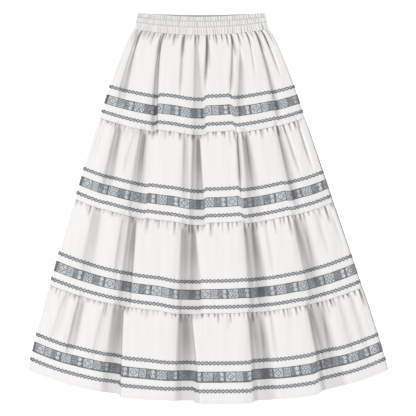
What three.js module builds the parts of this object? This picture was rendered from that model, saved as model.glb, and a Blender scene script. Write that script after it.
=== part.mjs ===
// A prairie skirt laid flat on its back: an elastic waistband in three shirred channels and four gathered
// tiers, each tier with a flat ribbon between two narrow braids above its lower seam. Front and back lie on
// each other and meet in a soft fold down each side. Millimetres, +Z up, +Y towards the waist.
import * as THREE from "three";

// -------------------------------------------------------------------------------------- driving dimensions
const CLOTH = 1.2; // wall of a tier, gathered cotton
const CASING = 2.6; // wall of the waistband, two layers of cloth over elastic
const TRIM = 0.8; // ribbon and braid
const GAP = 0.3; // between two pieces that touch
const RIBBON_WIDTH = 22;
const BRAID_WIDTH = 7;
const SIDE_RADIUS = 3.5; // of the soft fold down each side
const BAND_SIDE_RADIUS = 1.8; // of the same fold at the waistband
const SIDE_STEPS = 2; // facets in that fold
const LOWEST = CLOTH + GAP + 2.4; // height of the front's outer face where it comes nearest to the back
const BACK_RAISED = 2.5; // how much further up than the front the back's waist edge lies at its middle
const BACK_SHORTER = 2; // how much the back's hem lies inside the front's

// The six lines across the skirt, from the waist's edge to the hem. y is the middle of the line, middle its
// x, half its half width, rise how far its ends turn up and bow the power of its curve, so that a higher one
// is flatter in the middle. loft is the height of the front at its middle and side that at its ends.
const LINES = [
  { name: "waist_edge", y: 421.75, middle: -15, half: 140, rise: 9, bow: 2, loft: 6.2, side: 5.6 },
  { name: "waist_seam", y: 381, middle: -15, half: 148, rise: 13, bow: 2, loft: 9, side: 7.5 },
  { name: "seam_1", y: 160, middle: -13, half: 225.5, rise: 39, bow: 2.1, loft: 17, side: 8.0 },
  { name: "seam_2", y: -38.5, middle: -9, half: 284, rise: 57, bow: 2.2, loft: 18, side: 8.5 },
  { name: "seam_3", y: -231, middle: -5, half: 344, rise: 59.5, bow: 2.4, loft: 18.5, side: 9.0 },
  { name: "hem", y: -418, middle: 0, half: 397, rise: 62, bow: 2.9, loft: 19, side: 9.0 },
];
const HEM_LINE = LINES.length - 1;

// How far each tier's sides swell past the straight line between its two seams, most of it near the upper
// one, and how far down the tier, as a share of its height, its upper braid, ribbon and lower braid lie.
const TIERS = [
  { name: "tier_1", swell: 7.5, upper: 0.643, ribbon: 0.784, lower: 0.92 },
  { name: "tier_2", swell: 1.5, upper: 0.625, ribbon: 0.772, lower: 0.918 },
  { name: "tier_3", swell: 0.5, upper: 0.628, ribbon: 0.776, lower: 0.925 },
  { name: "tier_4", swell: 2, upper: 0.565, ribbon: 0.713, lower: 0.862 },
];

// The long folds that run from the waist to the hem. Each row of FOLD_PATHS says where the bottom of a fold
// crosses the lines, as a share of the half width. Each row of FOLD_FORMS says how wide the same fold's
// flanks are and how deep it is, all at the hem.
const FOLD_PATHS = [
  { waist: -0.925, seam1: -0.85, seam2: -0.81, seam3: -0.8, hem: -0.81 },
  { waist: -0.585, seam1: -0.53, seam2: -0.54, seam3: -0.53, hem: -0.54 },
  { waist: 0.065, seam1: 0, seam2: -0.05, seam3: -0.085, hem: -0.105 },
  { waist: 0.45, seam1: 0.4, seam2: 0.345, seam3: 0.32, hem: 0.31 },
  { waist: 0.825, seam1: 0.77, seam2: 0.72, seam3: 0.7, hem: 0.68 },
];
const FOLD_FORMS = [
  { left: 22, right: 14, depth: 6 },
  { left: 32, right: 14, depth: 11.5 },
  { left: 34, right: 12, depth: 11.5 },
  { left: 20, right: 22, depth: 11.5 },
  { left: 20, right: 22, depth: 10.5 },
];
const FOLDS = FOLD_PATHS.map((path, i) => ({ path, ...FOLD_FORMS[i] }));
// What a fold does at each of LINES: the column of its path, and the share of its depth that is there.
const FOLD_AT = [
  { column: "waist", depth: 0.1 },
  { column: "waist", depth: 0.25 },
  { column: "seam1", depth: 0.9 },
  { column: "seam2", depth: 1 },
  { column: "seam3", depth: 1 },
  { column: "hem", depth: 1 },
];
const FLANK_STEPS = 2; // facets on each flank of a long fold
const FLANK_AT_WAIST = 1.3; // how much wider a fold's flanks are at the waist, as a share of the half width

// Cloth that falls into a fold slips along it, so trims, seams and hem step up or down there. Each row is the
// step over one flank of a fold, going right, at the trims of each tier and at the hem.
const STEPS = [
  { fold: 0, flank: "left", tier_1: 0, tier_2: 2.4, tier_3: 0, tier_4: 2.6, hem: 0 },
  { fold: 1, flank: "right", tier_1: 5.7, tier_2: 2.9, tier_3: 0, tier_4: -1.5, hem: -6.4 },
  { fold: 2, flank: "left", tier_1: -4.9, tier_2: -5.7, tier_3: -5.5, tier_4: -3, hem: 0 },
  { fold: 2, flank: "right", tier_1: 6.4, tier_2: 4.8, tier_3: 2.2, tier_4: 0, hem: -6.4 },
  { fold: 3, flank: "left", tier_1: -6, tier_2: -6.2, tier_3: -1.5, tier_4: 2.4, hem: 5.6 },
  { fold: 4, flank: "left", tier_1: -1.8, tier_2: -3.5, tier_3: -1.5, tier_4: 1, hem: 7 },
  { fold: 4, flank: "right", tier_1: 0, tier_2: -2.2, tier_3: 0, tier_4: -2, hem: 0 },
];
// Which of those columns holds from where: a tier's from its upper braid to its seam.
const STEP_LINES = [
  { line: 1.54, column: "tier_1" },
  { line: 2, column: "tier_1" },
  { line: 2.54, column: "tier_2" },
  { line: 3, column: "tier_2" },
  { line: 3.54, column: "tier_3" },
  { line: 4, column: "tier_3" },
  { line: 4.54, column: "tier_4" },
  { line: 5, column: "hem" },
];

// Rows of points down a tier, as shares of its height. gather is the share of its height that a gather keeps
// there, and a dense row has two facets, one gather, for each facet of a plain one.
const TIER_ROWS = [
  { down: 0, gather: 0.7, dense: true },
  { down: 0.05, gather: 1, dense: true },
  { down: 0.26, gather: 0.35, dense: true },
  { down: 0.54, gather: 0, dense: false },
  { down: 1, gather: 0, dense: false },
];
const GATHER_PITCH = 19; // most room that half a crest's gathers take each along a tier's upper seam
const GATHER_LOW = 1.4; // height of the shallowest gather
const GATHER_SPREAD = 2.0; // how much higher the deepest one stands

// Rows down the waistband: puff is how far the shirred cloth stands out between the stitched channels.
const BAND_ROWS = [
  { down: 0, puff: 0.2 },
  { down: 0.16, puff: 1 },
  { down: 0.33, puff: -0.2 },
  { down: 0.5, puff: 1 },
  { down: 0.67, puff: -0.2 },
  { down: 0.84, puff: 1 },
  { down: 1, puff: 0 },
];
const BAND_RIBS = 50; // shirred ribs across the front
const RIB_HEIGHT = 0.9;
const BACK_STEPS = 18; // facets along a back panel's edge

const COLOURS = {
  cloth: { color: 0xf0efec, roughness: 0.9 },
  ribbon: { color: 0x7d8890, roughness: 0.65 },
  braid: { color: 0x8f9aa3, roughness: 0.7 },
};

// ----------------------------------------------------------------------------------------- the laid-out form
const mix = (a, b, t) => a + (b - a) * t;
const ease = (t) => (1 - Math.cos(Math.PI * Math.min(1, Math.max(0, t)))) / 2;

// An uneven number from 0 to 1 that is always the same for the same pair of whole numbers.
function uneven(i, j) {
  const wave = Math.sin(i * 12.9898 + j * 78.233) * 43758.5453;
  return wave - Math.floor(wave);
}

// A value that is known at each line, at a place between the lines: line 1.5 is halfway from the waist seam
// to seam 1.
function atLine(line, read) {
  const above = Math.min(HEM_LINE - 1, Math.floor(line));
  return mix(read(above), read(above + 1), line - above);
}

function halfWidth(line) {
  const above = Math.min(HEM_LINE - 1, Math.floor(line));
  const swell = above > 0 ? TIERS[above - 1].swell : 0;
  const t = line - above;
  return atLine(line, (i) => LINES[i].half) + swell * 2.6 * Math.sqrt(t) * (1 - t);
}

const foldAt = (fold, line) => atLine(line, (i) => fold.path[FOLD_AT[i].column]);
const flank = (width, line) => (width / LINES[HEM_LINE].half) * mix(FLANK_AT_WAIST, 1, line / HEM_LINE);

// A place on the laid-out skirt: across runs from -1 at the left side fold to 1 at the right one.
function inPlan(line, across) {
  const bow = atLine(line, (i) => LINES[i].bow);
  return {
    x: atLine(line, (i) => LINES[i].middle) + halfWidth(line) * across,
    y: atLine(line, (i) => LINES[i].y + LINES[i].rise * Math.abs(across) ** bow),
  };
}

// The height of a step at a line. There are none at the waist.
function stepAt(step, line) {
  const next = STEP_LINES.findIndex((row) => row.line >= line);
  const below = STEP_LINES[next];
  if (next === 0) return step[below.column] * Math.max(0, (line - 1) / (below.line - 1));
  const above = STEP_LINES[next - 1];
  return mix(step[above.column], step[below.column], (line - above.line) / (below.line - above.line));
}

// How far up the front has slipped there, against the plain curve of the line.
function slip(line, across) {
  return STEPS.reduce((sum, step) => {
    const fold = FOLDS[step.fold];
    const width = flank(fold[step.flank], line);
    const start = foldAt(fold, line) - (step.flank === "left" ? width : 0);
    return sum + stepAt(step, line) * Math.min(1, Math.max(0, (across - start) / width));
  }, 0);
}

// Where the plain stations of a tier's row lie: each long fold has its shoulders and its bottom on a station.
function stations(tier, line) {
  const stop = 1 - SIDE_RADIUS / halfWidth(line);
  const seam = tier + 1;
  const gathers = (from, to) => Math.ceil(((to - from) * halfWidth(seam)) / 2 / GATHER_PITCH);
  const corners = [{ at: -stop }];
  let last = -1;
  for (const fold of FOLDS) {
    const bottom = foldAt(fold, line);
    const shoulder = Math.max(-stop + 0.02, bottom - flank(fold.left, line));
    corners.push({ at: shoulder, steps: gathers(last, foldAt(fold, seam)) });
    corners.push({ at: bottom, steps: FLANK_STEPS });
    corners.push({ at: bottom + flank(fold.right, line), steps: FLANK_STEPS });
    last = foldAt(fold, seam);
  }
  corners.push({ at: stop, steps: gathers(last, 1) });
  const found = [-stop];
  for (let i = 1; i < corners.length; i++) {
    const { at, steps } = corners[i];
    for (let k = 1; k <= steps; k++) found.push(mix(corners[i - 1].at, at, k / steps));
  }
  return found;
}

function halved(list) {
  return list.flatMap((value, i) => (i ? [mix(list[i - 1], value, 0.5), value] : [value]));
}

// Height of the front's outer face, without gathers.
function frontHeight(line, across) {
  const side = atLine(line, (i) => LINES[i].side);
  const crest = mix(side, atLine(line, (i) => LINES[i].loft), 1 - Math.abs(across) ** 4);
  const share = atLine(line, (i) => FOLD_AT[i].depth);
  return FOLDS.reduce((height, fold) => {
    const off = across - foldAt(fold, line);
    const reach = flank(off < 0 ? fold.left : fold.right, line);
    return height - fold.depth * share * ease(1 - Math.abs(off) / reach);
  }, crest);
}

// ------------------------------------------------------------------------------------------ walls and strips
// The outer edge of one row of the front, from the foot of the left side fold over the front to the right
// one, as points { u, z }: u is the distance from the middle of the line, z the height.
function rowEdge(line, foot, across, heights, radius = SIDE_RADIUS) {
  const half = halfWidth(line);
  const turn = (sign, height) =>
    Array.from({ length: SIDE_STEPS + 1 }, (_, k) => {
      const angle = (k / (SIDE_STEPS + 1)) * (Math.PI / 2);
      return {
        u: sign * (half - radius * (1 - Math.cos(angle))),
        z: height - radius * (1 - Math.sin(angle)),
      };
    });
  return [
    { u: -half, z: foot },
    ...turn(-1, heights[0]),
    ...across.map((a, i) => ({ u: a * half, z: heights[i] })),
    ...turn(1, heights.at(-1)).reverse(),
    { u: half, z: foot },
  ];
}

// The same edge moved out by a distance, with mitred corners. Both ends stay at their own height.
function movedOut(edge, distance) {
  const normal = (a, b) => {
    const length = Math.hypot(b.u - a.u, b.z - a.z);
    return { u: -(b.z - a.z) / length, z: (b.u - a.u) / length };
  };
  return edge.map((point, i) => {
    const before = normal(edge[Math.max(0, i - 1)], edge[Math.max(1, i)]);
    const after = normal(edge[Math.min(edge.length - 2, i)], edge[Math.min(edge.length - 1, i + 1)]);
    const u = before.u + after.u;
    const z = before.z + after.z;
    const mitre = Math.min(1.6, 2 / (u * u + z * z)) * distance;
    const isEnd = i === 0 || i === edge.length - 1;
    return { u: point.u + u * mitre, z: isEnd ? point.z : point.z + z * mitre };
  });
}

// A row's edge in space.
function inSpace(line, edge) {
  const half = halfWidth(line);
  return edge.map(({ u, z }) => {
    const { x, y } = inPlan(line, u / half);
    return new THREE.Vector3(x, y + slip(line, u / half), z);
  });
}

// Triangles between two rows of points. Where the first has two facets for each of the second between its
// side folds, each pair is fanned.
function stitch(upper, lower, triangle) {
  const extra = upper.length - lower.length;
  const plain = (upper.length - 1 - 2 * extra) / 2;
  let j = 0;
  for (let i = 0; i < upper.length - 1; j++) {
    const inFan = extra > 0 && i >= plain && i < plain + 2 * extra;
    triangle(upper[i], lower[j], upper[i + 1]);
    triangle(upper[i + 1], lower[j], lower[j + 1]);
    if (inFan) triangle(upper[i + 1], lower[j + 1], upper[i + 2]);
    i += inFan ? 2 : 1;
  }
}

// A closed wall between rows of outer points and rows of inner points, given from the waist's side to the
// hem's.
function wallGeometry(outer, inner) {
  const positions = [];
  const triangle = (a, b, c) => positions.push(...a.toArray(), ...b.toArray(), ...c.toArray());
  const turned = (a, b, c) => triangle(a, c, b);
  for (let r = 1; r < outer.length; r++) stitch(outer[r - 1], outer[r], triangle);
  for (let r = 1; r < inner.length; r++) stitch(inner[r - 1], inner[r], turned);
  stitch(outer[0], inner[0], turned);
  stitch(outer.at(-1), inner.at(-1), triangle);
  for (const [end, face] of [[0, triangle], [-1, turned]]) {
    const outline = [...outer.map((row) => row.at(end)), ...inner.map((row) => row.at(end)).reverse()];
    for (let i = 1; i < outline.length - 1; i++) face(outline.at(-1), outline[i], outline[i - 1]);
  }
  const geometry = new THREE.BufferGeometry();
  geometry.setAttribute("position", new THREE.Float32BufferAttribute(positions, 3));
  geometry.computeVertexNormals();
  return geometry;
}

function piece(name, geometry, finish) {
  const material = new THREE.MeshStandardMaterial({ ...COLOURS[finish], metalness: 0 });
  const mesh = new THREE.Mesh(geometry, material);
  mesh.name = name;
  return mesh;
}

// ------------------------------------------------------------------------------------------------ the pieces
// Two pieces meet edge to edge at a seam, half a gap either side of its line.
function trimmedEnds(firstLine, lastLine) {
  const height = LINES[firstLine].y - LINES[lastLine].y;
  return {
    from: firstLine > 0 ? firstLine + GAP / 2 / height : firstLine,
    to: lastLine < HEM_LINE ? lastLine - GAP / 2 / height : lastLine,
  };
}

// The rows of one tier's front, each with its line and its outer edge.
function tierRows(tier) {
  const { from, to } = trimmedEnds(tier + 1, tier + 2);
  return TIER_ROWS.map(({ down, gather, dense }) => {
    const line = mix(from, to, down);
    const across = dense ? halved(stations(tier, line)) : stations(tier, line);
    const heights = across.map((a, i) => {
      const height = (GATHER_LOW + GATHER_SPREAD * uneven(i, tier)) * gather;
      const gathered = frontHeight(line, a) + (i % 2 ? -1 : 0.35) * height;
      const isEnd = i === 0 || i === across.length - 1;
      return Math.max(gathered, LOWEST + (isEnd ? SIDE_RADIUS : 0));
    });
    return { line, edge: rowEdge(line, CLOTH + GAP, across, heights) };
  });
}

function tierFront(tier) {
  const rows = tierRows(tier);
  const outer = rows.map(({ line, edge }) => inSpace(line, edge));
  const inner = rows.map(({ line, edge }) => inSpace(line, movedOut(edge, -CLOTH)));
  return piece(`${TIERS[tier].name}_front`, wallGeometry(outer, inner), "cloth");
}

// A ribbon or braid: the tier's own points between its last two rows, moved out.
function trimOn(tier, name, down, width, finish) {
  const [above, below] = tierRows(tier).slice(-2);
  const start = TIER_ROWS.at(-2).down;
  const share = width / (LINES[tier + 1].y - LINES[tier + 2].y);
  const layer = (distance) => {
    const [top, bottom] = [above, below].map(({ line, edge }) => inSpace(line, movedOut(edge, distance)));
    return [down - share / 2, down + share / 2].map((at) =>
      top.map((point, i) => point.clone().lerp(bottom[i], (at - start) / (1 - start))),
    );
  };
  return piece(name, wallGeometry(layer(GAP + TRIM), layer(GAP)), finish);
}

function waistbandFront() {
  const { from, to } = trimmedEnds(0, 1);
  const foot = CASING + GAP;
  const rows = BAND_ROWS.map(({ down, puff }) => {
    const line = mix(from, to, down);
    const stop = 1 - BAND_SIDE_RADIUS / halfWidth(line);
    const facets = 2 * BAND_RIBS;
    const across = Array.from({ length: facets + 1 }, (_, i) => mix(-stop, stop, i / facets));
    const rib = (i) => (i % 2 ? puff * RIB_HEIGHT * mix(0.6, 1.2, uneven(i, BAND_RIBS)) : 0);
    const heights = across.map((_, i) => foot + CASING + rib(i));
    return { line, edge: rowEdge(line, foot, across, heights, BAND_SIDE_RADIUS) };
  });
  const outer = rows.map(({ line, edge }) => inSpace(line, edge));
  const inner = [rows[0], rows.at(-1)].map(({ line, edge }) => {
    const shrink = 1 - CASING / halfWidth(line);
    return inSpace(line, edge.map(({ u }) => ({ u: u * shrink, z: foot })));
  });
  return piece("waistband_front", wallGeometry(outer, inner), "cloth");
}

// A back panel lies flat: its plan, cut out of a sheet of even thickness. raised is how much further up than
// the front's its upper edge lies at its middle, and shorter how much further up its lower edge.
function backPanel(name, firstLine, thickness, { raised = 0, shorter = 0 } = {}) {
  const { from, to } = trimmedEnds(firstLine, firstLine + 1);
  const edge = (line, lift) =>
    Array.from({ length: BACK_STEPS + 1 }, (_, i) => {
      const across = mix(-1, 1, i / BACK_STEPS);
      const { x, y } = inPlan(line, across);
      return new THREE.Vector2(x, y + lift(across));
    });
  const side = (across) =>
    [0.2, 0.4, 0.7].map((t) => {
      const { x, y } = inPlan(mix(from, to, t), across);
      return new THREE.Vector2(x, y);
    });
  const plan = [
    ...edge(from, (across) => raised * (1 - across ** 2)),
    ...side(1),
    ...edge(to, () => shorter).reverse(),
    ...side(-1).reverse(),
  ];
  const flat = { depth: thickness, bevelEnabled: false };
  return piece(name, new THREE.ExtrudeGeometry(new THREE.Shape(plan), flat), "cloth");
}

const skirt = new THREE.Group();
skirt.add(waistbandFront(), backPanel("waistband_back", 0, CASING, { raised: BACK_RAISED }));
TIERS.forEach(({ name, upper, ribbon, lower }, tier) => {
  const isLast = tier === TIERS.length - 1;
  skirt.add(
    tierFront(tier),
    backPanel(`${name}_back`, tier + 1, CLOTH, { shorter: isLast ? BACK_SHORTER : 0 }),
    trimOn(tier, `${name}_braid_upper`, upper, BRAID_WIDTH, "braid"),
    trimOn(tier, `${name}_ribbon`, ribbon, RIBBON_WIDTH, "ribbon"),
    trimOn(tier, `${name}_braid_lower`, lower, BRAID_WIDTH, "braid"),
  );
});

export default skirt;
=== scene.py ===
# %% [markdown]
# # A prairie skirt, laid flat
# The skirt is an elastic waistband over four gathered tiers of off-white cotton. Every tier carries a jacquard ribbon
# between two crossed braids. It lies on its back, so the front is the side that shows, and we look straight down.
#
# A cloth simulation could drape it, but a skirt that a stylist has laid out has folds in chosen places. So the folds
# are listed in short tables, and numpy works out the cloth from them. All sizes below are in millimetres, and
# they turn into Blender's metres once, where a mesh is made.

# %% Load the solid model, which is the frame that every piece is fitted to
import math
from collections import namedtuple

import bpy
import numpy as np
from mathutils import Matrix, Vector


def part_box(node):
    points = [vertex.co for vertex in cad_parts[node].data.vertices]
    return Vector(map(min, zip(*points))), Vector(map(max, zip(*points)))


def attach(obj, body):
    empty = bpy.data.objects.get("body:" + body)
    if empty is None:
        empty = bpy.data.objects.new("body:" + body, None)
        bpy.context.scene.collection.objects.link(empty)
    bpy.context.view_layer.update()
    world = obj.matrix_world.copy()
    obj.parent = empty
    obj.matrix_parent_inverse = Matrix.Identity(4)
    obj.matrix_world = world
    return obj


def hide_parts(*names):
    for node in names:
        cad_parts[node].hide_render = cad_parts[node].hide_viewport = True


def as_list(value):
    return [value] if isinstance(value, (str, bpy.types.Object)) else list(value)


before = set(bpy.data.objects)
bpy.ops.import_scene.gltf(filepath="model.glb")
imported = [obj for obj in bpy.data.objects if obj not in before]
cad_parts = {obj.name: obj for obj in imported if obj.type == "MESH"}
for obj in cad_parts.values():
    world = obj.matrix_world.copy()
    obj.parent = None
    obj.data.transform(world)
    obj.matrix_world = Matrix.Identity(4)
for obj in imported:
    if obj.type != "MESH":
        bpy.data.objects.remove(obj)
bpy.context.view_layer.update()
MM = 0.001

# %% [markdown]
# ## The laid-out form
# Six lines cross the skirt: the waist's edge, the seams and the hem. A place on the skirt is then two numbers: `line`,
# from 0 at the waist's edge to 5 at the hem, and `across`, from -1 at the left side fold to 1 at the right one. They
# are the same lines and long folds as the solids have, so the cloth fits them with nothing to move afterwards.

# %% The lines, the tiers and the sizes that everything else is worked out from
CLOTH = 1.2
CASING = 2.6
GAP = 0.3
TRIM = 0.8
SIDE_RADIUS = 3.5
BAND_SIDE_RADIUS = 1.8
LOWEST = CLOTH + GAP + 2.4
BACK_RAISED = 4.5
BACK_SHORTER = 2
RIBBON_WIDTH = 22
BRAID_WIDTH = 7

Line = namedtuple("Line", "name y middle half rise bow loft side")
LINES = [
    Line("waist_edge", 421.75, -15, 140, 9, 2, 6.2, 5.6),
    Line("waist_seam", 381, -15, 148, 13, 2, 9, 7.5),
    Line("seam_1", 160, -13, 225.5, 39, 2.1, 17, 8),
    Line("seam_2", -38.5, -9, 284, 57, 2.2, 18, 8.5),
    Line("seam_3", -231, -5, 344, 59.5, 2.4, 18.5, 9),
    Line("hem", -418, 0, 397, 62, 2.9, 19, 9),
]
HEM = len(LINES) - 1

Tier = namedtuple("Tier", "name swell upper ribbon lower")  # swell in millimetres, the trims as shares of the height
TIERS = [
    Tier("tier_1", 7.5, 0.643, 0.784, 0.92),
    Tier("tier_2", 1.5, 0.625, 0.772, 0.918),
    Tier("tier_3", 0.5, 0.628, 0.776, 0.925),
    Tier("tier_4", 2, 0.565, 0.713, 0.862),
]


def mix(a, b, t):
    return a + (b - a) * t


def ease(t):
    """From 0 to 1, level at both ends and outside them."""
    return (1 - np.cos(np.pi * np.clip(t, 0, 1))) / 2


def uneven(i, j):
    """A number from 0 to 1 that looks random and is the same on each run."""
    return (np.sin(i * 12.9898 + j * 78.233) * 43758.5453) % 1


def at_line(line, column):
    return np.interp(line, range(HEM + 1), [getattr(row, column) for row in LINES])


def half_width(line):
    above = np.clip(np.floor(line), 0, HEM - 1).astype(int)
    swell = np.array([0] + [tier.swell for tier in TIERS])[above]
    t = line - above
    bulge = 2.6 * np.sqrt(np.maximum(t, 0)) * (1 - t)  # its top is 1
    return at_line(line, "half") + swell * bulge


def tier_height(tier):
    return LINES[tier + 1].y - LINES[tier + 2].y


for tier, lower in zip(TIERS, LINES[2:]):
    low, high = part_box(f"{tier.name}_back")
    print(f"{tier.name}: solid {(high[0] - low[0]) / MM:.0f} mm wide, {lower.name} {2 * lower.half:.0f} mm")

# %% [markdown]
# ## Where the cloth has slipped
# Five long folds run from the waist to the hem. Cloth that falls into a fold slips a little along it, so the ribbons,
# the seams and the hem step up or down there. Without these steps the trims look drawn on, and with them they look
# sewn on, so they come before the folds themselves.

# %% The steps of the trims, seams and hem
Step = namedtuple("Step", "tier_1 tier_2 tier_3 tier_4 hem")
STEPS = [  # where a step is, how many millimetres up it goes from left to right, and over what width
    (Step(-0.78, -0.78, -0.78, -0.78, -0.8), Step(0, 2.4, 0, 2.6, 0), 30),
    (Step(-0.46, -0.455, -0.485, -0.495, -0.493), Step(5.7, 2.9, 0, -1.5, -6.4), 8),
    (Step(-0.2, -0.17, -0.25, -0.3, -0.3), Step(-4.9, -5.7, -5.5, -3, 0), 60),
    (Step(0.035, 0.01, -0.03, -0.07, -0.075), Step(6.4, 4.8, 2.2, 0, -6.4), 8),
    (Step(0.315, 0.3, 0.29, 0.255, 0.25), Step(-6, -6.2, -1.5, 2.4, 5.6), 10),
    (Step(0.74, 0.68, 0.62, 0.62, 0.618), Step(-1.8, -3.5, -1.5, 1, 7), 18),
    (Step(0.84, 0.82, 0.8, 0.74, 0.8), Step(0, -2.2, 0, -2, 0), 50),
]
LEFT_SIDE = Step(-0.7, 1, 2.2, -1.7, 0)
STEP_LINES = [1, 1.54, 2, 2.54, 3, 3.54, 4, 4.54, 5]  # a tier's steps hold from its trims to its seam


def in_plan(line, across):
    rise = at_line(line, "rise") * np.abs(across) ** at_line(line, "bow")
    return at_line(line, "middle") + half_width(line) * across, at_line(line, "y") + rise


def step_at(line, row, at_waist):
    tier_1, tier_2, tier_3, tier_4, hem = row
    return np.interp(line, STEP_LINES, [at_waist, tier_1, tier_1, tier_2, tier_2, tier_3, tier_3, tier_4, hem])


def slip(line, across):
    """How far up the cloth has slipped at a place."""
    total = step_at(line, LEFT_SIDE, 0) + 0 * across
    for place, step, width in STEPS:
        off = (across - step_at(line, place, place.tier_1)) * half_width(line)
        total = total + step_at(line, step, 0) * ease(off / width + 0.5)
    return total


print("slip from side to side at the hem, mm:", slip(5, np.array([-1, -0.3, 0.1, 0.5, 1])).round(1))

# %% [markdown]
# ## Folds
# A real fold isn't even. One flank slopes away and the other is almost upright, and that upright flank is the crisp
# edge that the eye reads as a fold. Some lie flat at the bottom for a finger's width before they rise again. So each
# row says where a fold lies at the tier's top and bottom, how wide its left flank, floor and right flank are, and how
# deep it is. The last numbers are the shares of the tier's height where it ends and starts, unless it runs right
# through. All folds widen on the way down, as a skirt does.

# %% The folds of each tier
Fold = namedtuple("Fold", "top bottom left floor right depth end start", defaults=(1, 0))
FOLDS = {
    "tier_1": [
        Fold(-0.96, -0.95, 4, 0, 6, 1.4, 0.4),
        Fold(-0.89, -0.84, 10, 2, 12, 8.4, 0.6),
        Fold(-0.572, -0.455, 10, 2, 5, 9.6),
        Fold(-0.255, -0.21, 7, 0, 8, 5.6, 0.42),
        Fold(-0.075, -0.04, 14, 10, 14, 5.2, start=0.18),
        Fold(0.093, 0.0, 8, 1, 6, 9.5, 0.34),
        Fold(0.45, 0.24, 9, 0, 9, 7.2, 0.42),
        Fold(0.55, 0.36, 14, 2, 16, 6, 0.64, start=0.36),
        Fold(0.68, 0.56, 7, 0, 8, 3.2, 0.24),
        Fold(0.8, 0.775, 10, 2, 12, 6.4, 0.75),
        Fold(0.902, 0.9, 7, 0, 10, 5.4, 0.26),
    ],
    "tier_2": [
        Fold(-0.955, -0.95, 5, 0, 6, 2.6, 0.28),
        Fold(-0.808, -0.79, 12, 3, 14, 9, 0.6),
        Fold(-0.64, -0.7, 8, 0, 9, 2.6, 0.36),
        Fold(-0.575, -0.555, 14, 9, 16, 7),
        Fold(-0.56, -0.535, 6, 1, 7, 4, 0.5),
        Fold(-0.158, -0.14, 12, 2, 13, 5.6, 0.55),
        Fold(-0.07, -0.075, 12, 17, 4.5, 7.4),
        Fold(-0.035, -0.035, 9, 3, 9, 4, 0.6),
        Fold(0.345, 0.305, 6, 1, 5, 9.4, 0.44),
        Fold(0.41, 0.4, 15, 9, 16, 6.6),
        Fold(0.425, 0.42, 7, 1, 9, 3.6, 0.45),
        Fold(0.735, 0.745, 11, 4, 13, 7, 0.75),
        Fold(0.8, 0.85, 7, 0, 9, 3.6, 0.35),
        Fold(0.932, 0.935, 6, 0, 7, 4.4, 0.3),
    ],
    "tier_3": [
        Fold(-0.825, -0.795, 15, 4, 16, 6.8, 0.6),
        Fold(-0.612, -0.595, 10, 1, 11, 5.4, 0.5),
        Fold(-0.555, -0.53, 13, 11, 5, 9),
        Fold(-0.525, -0.515, 8, 2, 8, 3.8, 0.6),
        Fold(-0.15, -0.14, 14, 30, 10, 8),
        Fold(-0.137, -0.12, 8, 1, 9, 3, 0.6),
        Fold(-0.08, -0.085, 9, 3, 9, 4, 0.6),
        Fold(0.33, 0.325, 15, 20, 15, 7.8),
        Fold(0.325, 0.34, 9, 1, 10, 1, 0.6),
        Fold(0.382, 0.366, 11, 6, 12, 5, 0.75),
        Fold(0.48, 0.47, 10, 0, 12, 1.8, 0.4),
        Fold(0.705, 0.705, 13, 18, 15, 6.4),
        Fold(0.71, 0.735, 9, 1, 10, 3.2, 0.6),
        Fold(0.78, 0.735, 9, 1, 10, 3.4, 0.6),
        Fold(0.865, 0.87, 9, 1, 12, 1.5, 0.3),
        Fold(0.965, 0.975, 6, 0, 8, 1.3, 0.3),
    ],
    "tier_4": [
        Fold(-0.88, -0.925, 10, 0, 12, 3.8, 0.42),
        Fold(-0.792, -0.81, 10, 3, 13, 9.4, 0.48),
        Fold(-0.63, -0.67, 12, 0, 13, 4.2, 0.48),
        Fold(-0.56, -0.545, 18, 17, 4, 10.1),
        Fold(-0.545, -0.535, 9, 2, 10, 3.6, 0.6),
        Fold(-0.148, -0.14, 17, 29, 3.5, 10.1),
        Fold(-0.13, -0.11, 12, 4, 12, 4, 0.6),
        Fold(0.29, 0.285, 14, 25, 15, 9),
        Fold(0.3, 0.32, 9, 2, 10, 2.4, 0.6),
        Fold(0.36, 0.335, 10, 3, 10, 4, 0.7),
        Fold(0.415, 0.42, 10, 0, 12, 2.6, 0.4),
        Fold(0.66, 0.66, 12, 30, 15, 8),
        Fold(0.67, 0.695, 9, 2, 10, 3.4, 0.6),
        Fold(0.745, 0.71, 9, 2, 10, 3.8, 0.6),
        Fold(0.85, 0.855, 13, 2, 15, 2.2, 0.55),
        Fold(0.925, 0.93, 11, 1, 13, 2.4, 0.55),
    ],
}
FADE = 0.3  # share of the tier's height over which a fold dies out
NARROW = (0.15, 0.5, 0.6, 0.65)  # how a fold's width at the top of each tier compares with its row
WIDE = 1.25  # and at the bottom
print("folds of each tier:", [len(folds) for folds in FOLDS.values()])

# %% [markdown]
# ## Gathers
# A gather is the smallest fold: a narrow crease pinched in by the seam's stitches, steeper on one side, with a soft
# puff beside it. The waist's gathers are few and deep, so they are placed one by one. The other seams have many small
# ones, and there a loop spaces them unevenly.

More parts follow.
